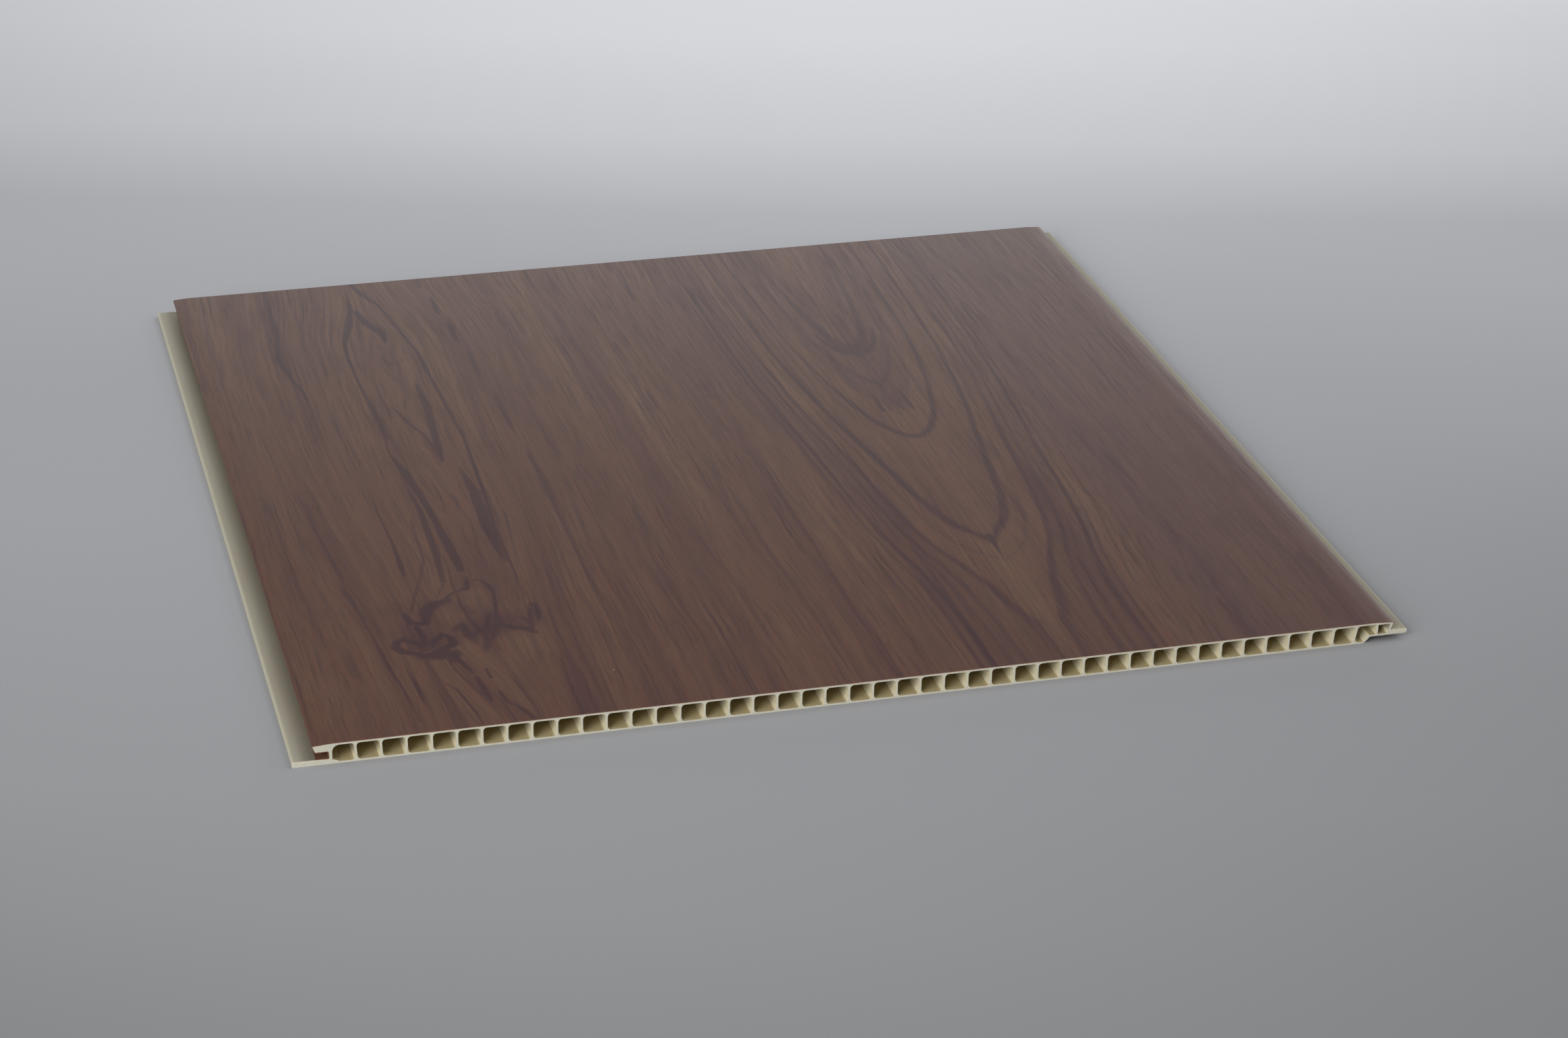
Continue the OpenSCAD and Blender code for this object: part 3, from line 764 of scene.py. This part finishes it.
def set_camera():
    """A plain pinhole view, fitted to the photo's edges."""
    data = bpy.data.cameras.new("camera")
    data.sensor_fit, data.sensor_width = "HORIZONTAL", SENSOR_MM
    data.lens = FOCAL_PX / PHOTO_W * SENSOR_MM
    data.clip_start, data.clip_end = 0.05, 30.0
    cam = bpy.data.objects.new("camera", data)
    bpy.context.scene.collection.objects.link(cam)
    ahead = Vector((math.sin(YAW) * math.cos(PITCH), math.cos(YAW) * math.cos(PITCH),
                    -math.sin(PITCH)))
    level = Vector((math.cos(YAW), -math.sin(YAW), 0.0))
    above = level.cross(ahead)
    right = level * math.cos(ROLL) + above * math.sin(ROLL)
    up = above * math.cos(ROLL) - level * math.sin(ROLL)
    m = Matrix((right, up, -ahead)).transposed().to_4x4()
    m.translation = Vector(CAMERA_PLACE)
    cam.matrix_world = m
    bpy.context.scene.camera = cam


FLOOR_HALF = 6.0
AWAY_X, AWAY_Y = 0.27, 0.963  # the direction in which the sweep gets paler
SIDE_LIMIT = 0.6
# Painted shade on the floor at each distance: (distance in m, to both sides, to the right, all
# over).
FALL_FROM, FALL_TO = -1.2, 0.8
FLOOR_PAINTED_SHADE = [
    (-1.1, 0.0, 0.0, 0.1), (-0.42, 2.3, 0.1, 0.14), (-0.34, 1.9, 0.25, 0.04),
    (-0.26, 1.0, 0.3, 0.0), (-0.17, 1.0, 0.34, 0.0), (-0.06, 0.7, 0.3, -0.01),
    (0.06, 0.25, 0.1, 0.0), (0.21, 0.25, 0.03, 0.0), (0.3, 1.0, 0.0, -0.05),
    (0.41, 1.1, 0.0, -0.03), (0.55, 1.05, 0.0, 0.0), (0.8, 0.2, 0.0, 0.0),
]
BOTH_SCALE, ALL_OVER_SHIFT = 2.5, 0.1  # these keep the ramp's channels between 0 and 1
MOST_PAINTED_SHADE = 0.32
# painted light on the floor, paler away from the camera
FLOOR_PAINTED_LIGHT = [
    (0.0, srgb(157, 158, 160)), (0.2, srgb(162, 163, 166)), (0.45, srgb(178, 179, 183)),
    (0.6, srgb(194, 195, 200)), (0.68, srgb(220, 221, 226)), (0.8, srgb(238, 239, 244)),
    (1.0, srgb(242, 243, 248)),
]


def floor():
    """A pale floor with painted light and shade: painted lighter away from the camera, and painted
    darker to the sides and to the right.
    """
    g = Graph(bpy.data.materials.new("floor_painted_light"))
    pos = g.coords("Object")
    x, y, _ = g.parts(pos)
    away = y * AWAY_Y + x * AWAY_X
    side = x * AWAY_Y - y * AWAY_X
    side = g.math("MINIMUM", g.math("MAXIMUM", side, -SIDE_LIMIT), SIDE_LIMIT)
    span = FALL_TO - FALL_FROM
    fall = g.ramp(g.step(away, FALL_FROM, FALL_TO, shape="LINEAR"), [
        ((at - FALL_FROM) / span, (both / BOTH_SCALE, right, all_over + ALL_OVER_SHIFT, 1.0))
        for at, both, right, all_over in FLOOR_PAINTED_SHADE])
    fall = g.node("ShaderNodeSeparateColor", i0=fall)
    both, right, all_over = (Val(g, s) for s in fall.socket.node.outputs)
    # painted shade on the floor, to the sides and to the right
    darker = side * side * both * BOTH_SCALE + side * right + all_over - ALL_OVER_SHIFT
    darker = g.math("TANH", darker / MOST_PAINTED_SHADE) * MOST_PAINTED_SHADE
    stain = g.noise(pos, scale=2.2, detail=3.0)
    pale = g.step(away + (stain - 0.5) * 0.06, -0.5, 0.8, shape="LINEAR")
    left = 1.0 - darker
    light = g.node("ShaderNodeCombineColor", i0=left, i1=left, i2=left)
    colour = g.mix(1.0, g.ramp(pale, FLOOR_PAINTED_LIGHT), light, blend="MULTIPLY")
    mat = g.surface(Base_Color=colour, Roughness=0.8, Specular_IOR_Level=0.2)
    mesh = bpy.data.meshes.new("floor")
    s = FLOOR_HALF
    mesh.from_pydata([(-s, -s, 0), (s, -s, 0), (s, s, 0), (-s, s, 0)], [], [(0, 1, 2, 3)])
    obj = bpy.data.objects.new("floor", mesh)
    bpy.context.scene.collection.objects.link(obj)
    mesh.materials.append(mat)


# Studio lights: name, place, aimed at, width and height in m, watts.
LIGHTS = [
    ("key", (-2.07, -1.86, 1.36), (0.0, 0.0, 0.0), 1.8, 1.8, 70.0),
    ("right", (2.2, -0.3, 2.0), (0.0, 0.0, 0.0), 2.0, 2.0, 32.0),
    ("top", (0.2, 0.7, 3.0), (0.0, 0.2, 0.0), 2.4, 2.4, 16.0),
    ("back", (0.42, 1.25, 0.26), (0.0, 0.1, 0.0), 2.6, 0.5, 4.9),
]


def area_light(name, place, target, width, height, power):
    data = bpy.data.lights.new(name, "AREA")
    data.shape, data.size, data.size_y, data.energy = "RECTANGLE", width, height, power
    obj = bpy.data.objects.new(name, data)
    bpy.context.scene.collection.objects.link(obj)
    obj.location = place
    obj.visible_camera = False
    obj.rotation_euler = (Vector(target) - Vector(place)).to_track_quat("-Z", "Y").to_euler()


FILL, WALL_GLOW = 0.12, 0.05
FILL_COLOUR = (0.97, 0.985, 1.0, 1.0)


def world():
    """Even fill light, a little brighter low behind the object, as from a pale wall there."""
    studio = bpy.data.worlds.new("studio")
    bpy.context.scene.world = studio
    g = Graph(studio)
    _, back, up = g.parts(g.coords("Generated"))
    strength = g.step(up, 0.5, 0.2) * g.step(back, -0.1, 0.9) * WALL_GLOW + FILL
    sky = g.node("ShaderNodeBackground", Color=FILL_COLOUR, Strength=strength)
    out = g.nodes.new("ShaderNodeOutputWorld")
    g.links.new(sky.socket, out.inputs["Surface"])


set_camera()
floor()
world()
for light in LIGHTS:
    area_light(*light)
bpy.context.scene.view_settings.view_transform = "Standard"
